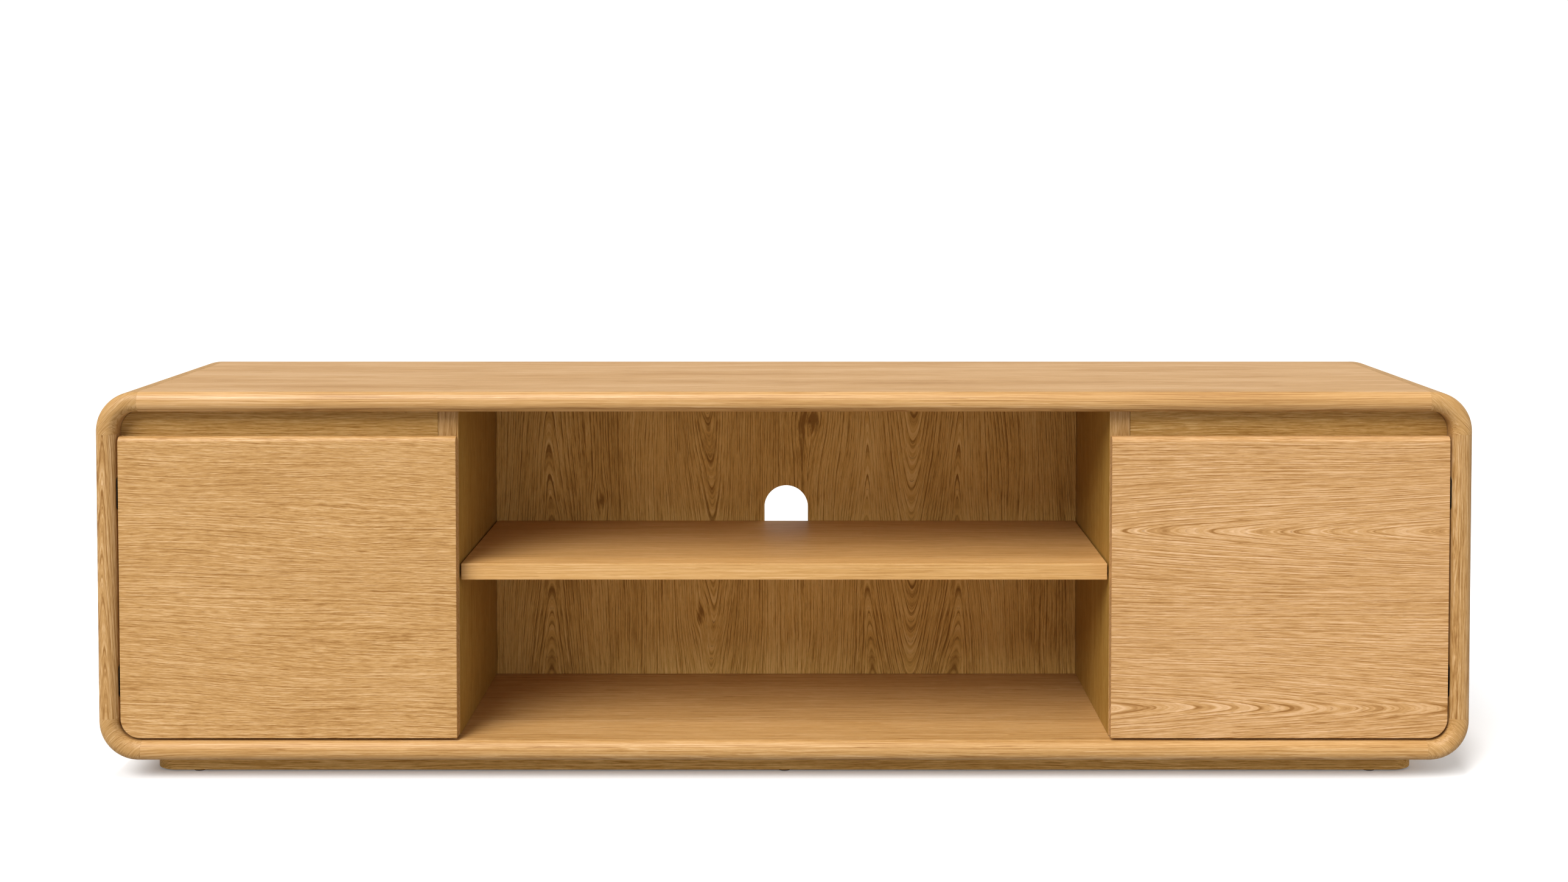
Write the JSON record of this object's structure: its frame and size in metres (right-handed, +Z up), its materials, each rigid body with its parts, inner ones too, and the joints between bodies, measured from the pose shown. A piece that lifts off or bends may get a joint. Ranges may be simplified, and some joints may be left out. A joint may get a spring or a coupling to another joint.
{
  "type": "media cabinet",
  "caption": "Low rounded oak media cabinet on a set-back plinth, with an open shelved niche between side-hung doors.",
  "frame": {"origin": "on the floor, under the middle of the cabinet's width and depth", "axes": "+X along the width, to the right as seen from the front; +Y from the front to the rear; +Z up"},
  "size_m": [1.8, 0.4, 0.512],
  "materials": {
    "oak": "clear satin oil on straight-grained honey oak",
    "oak_back": "clear satin oil on darker upright-grained oak",
    "oak_plinth": "clear satin oil on darker oak",
    "hinge_steel": "satin plated steel",
    "pin_steel": "satin plated steel",
    "magnet": "dull plated magnet",
    "glide_felt": "dense dark felt"
  },
  "bodies": {
    "root": {"top_panel": "oak", "bottom_panel": "oak", "left_side_panel": "oak", "right_side_panel": "oak", "left_top_corner_block": "oak", "right_top_corner_block": "oak", "left_bottom_corner_block": "oak", "right_bottom_corner_block": "oak", "left_divider": "oak", "right_divider": "oak", "left_back_panel": "oak_back", "centre_back_panel": "oak_back", "right_back_panel": "oak_back", "left_top_rail": "oak", "right_top_rail": "oak", "plinth_front_rail": "oak_plinth", "plinth_back_rail": "oak_plinth", "plinth_left_rail": "oak_plinth", "plinth_right_rail": "oak_plinth", "niche_shelf": "oak", "left_shelf": "oak", "right_shelf": "oak", "niche_shelf_pin_1": "pin_steel", "niche_shelf_pin_2": "pin_steel", "niche_shelf_pin_3": "pin_steel", "niche_shelf_pin_4": "pin_steel", "left_shelf_pin_1": "pin_steel", "left_shelf_pin_2": "pin_steel", "left_shelf_pin_3": "pin_steel", "left_shelf_pin_4": "pin_steel", "right_shelf_pin_1": "pin_steel", "right_shelf_pin_2": "pin_steel", "right_shelf_pin_3": "pin_steel", "right_shelf_pin_4": "pin_steel", "floor_glide_1": "glide_felt", "floor_glide_2": "glide_felt", "floor_glide_3": "glide_felt", "floor_glide_4": "glide_felt", "floor_glide_5": "glide_felt", "floor_glide_6": "glide_felt", "left_upper_hinge_frame_half": "hinge_steel", "left_lower_hinge_frame_half": "hinge_steel", "left_catch_magnet": "magnet", "right_upper_hinge_frame_half": "hinge_steel", "right_lower_hinge_frame_half": "hinge_steel", "right_catch_magnet": "magnet"},
    "left_door": {"left_door": "oak", "left_upper_hinge_door_half": "hinge_steel", "left_lower_hinge_door_half": "hinge_steel", "left_strike_plate": "hinge_steel"},
    "left_hinge_links": {"left_upper_hinge_link": "hinge_steel", "left_lower_hinge_link": "hinge_steel"},
    "right_door": {"right_door": "oak", "right_upper_hinge_door_half": "hinge_steel", "right_lower_hinge_door_half": "hinge_steel", "right_strike_plate": "hinge_steel"},
    "right_hinge_links": {"right_upper_hinge_link": "hinge_steel", "right_lower_hinge_link": "hinge_steel"}
  },
  "joints": [
    {"name": "left_door_swing", "type": "hinge", "parent": "root", "child": "left_door", "pos_m": [-0.87225, -0.194, 0.25425], "axis": [0, 0, -1], "range_deg": [0, 105]},
    {"name": "left_hinge_link_swing", "type": "hinge", "parent": "root", "child": "left_hinge_links", "pos_m": [-0.87225, -0.194, 0.25425], "axis": [0, 0, -1], "range_deg": [0, 52.5]},
    {"name": "right_door_swing", "type": "hinge", "parent": "root", "child": "right_door", "pos_m": [0.87225, -0.194, 0.25425], "axis": [0, 0, 1], "range_deg": [0, 105]},
    {"name": "right_hinge_link_swing", "type": "hinge", "parent": "root", "child": "right_hinge_links", "pos_m": [0.87225, -0.194, 0.25425], "axis": [0, 0, 1], "range_deg": [0, 52.5]}
  ],
  "couplings": [
    {"joint": "left_hinge_link_swing", "follows": "left_door_swing", "ratio": 0.5},
    {"joint": "right_hinge_link_swing", "follows": "right_door_swing", "ratio": 0.5}
  ]
}
